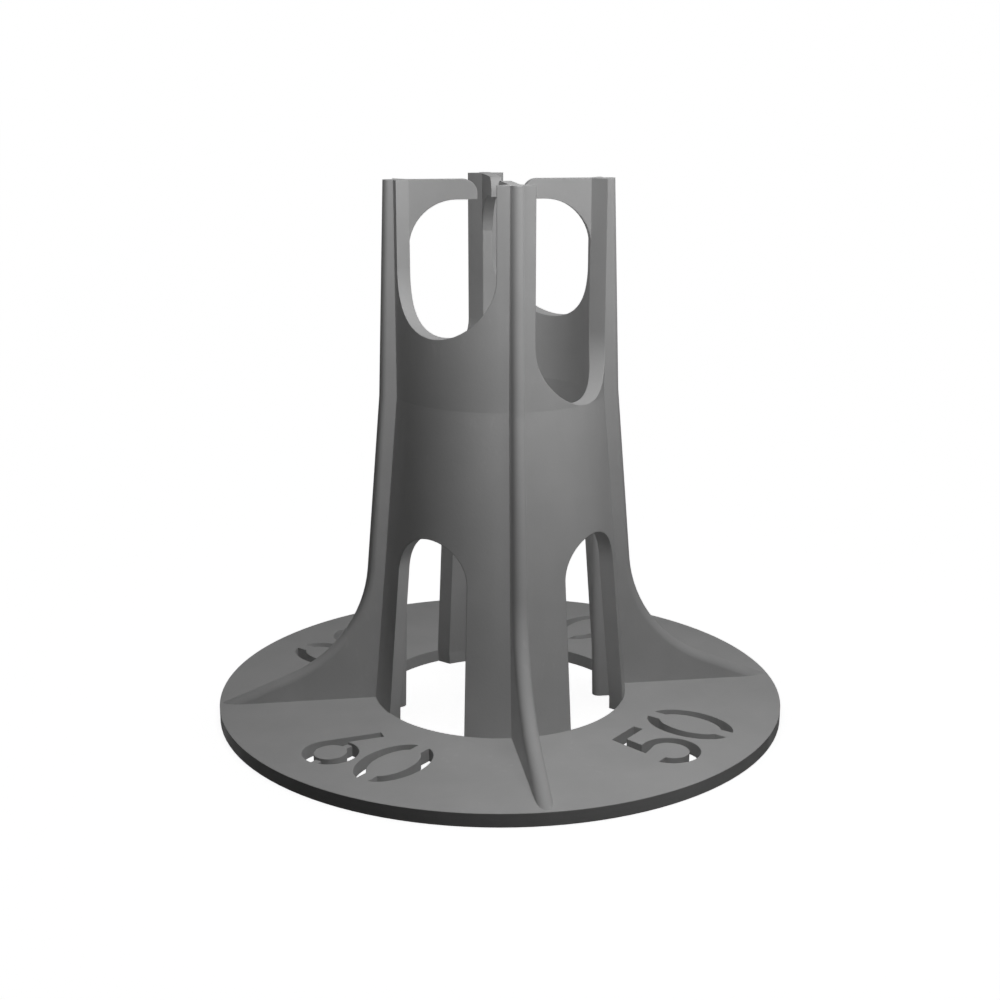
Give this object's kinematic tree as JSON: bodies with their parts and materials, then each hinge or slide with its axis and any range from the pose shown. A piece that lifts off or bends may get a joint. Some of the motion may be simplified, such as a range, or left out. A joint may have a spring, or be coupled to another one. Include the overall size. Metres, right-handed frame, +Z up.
{
  "type": "rebar chair",
  "caption": "Round-based plastic bar support: a ribbed tubular stand on a wide perforated plate, with crossing bar seats at different heights between posts and retaining arms.",
  "frame": {"origin": "centre of the underside of the round base", "axes": "+Z up along the centre line, +X along the lower bar channel, +Y along the higher bar channel; ribs, posts and arms lie on the diagonals between X and Y"},
  "size_m": [0.0882, 0.0882, 0.0817],
  "materials": {
    "moulded_plastic": "plain mid grey injection-moulded polypropylene, satin to matte, as moulded"
  },
  "bodies": {
    "root": {"rebar_chair": "moulded_plastic"}
  },
  "joints": []
}
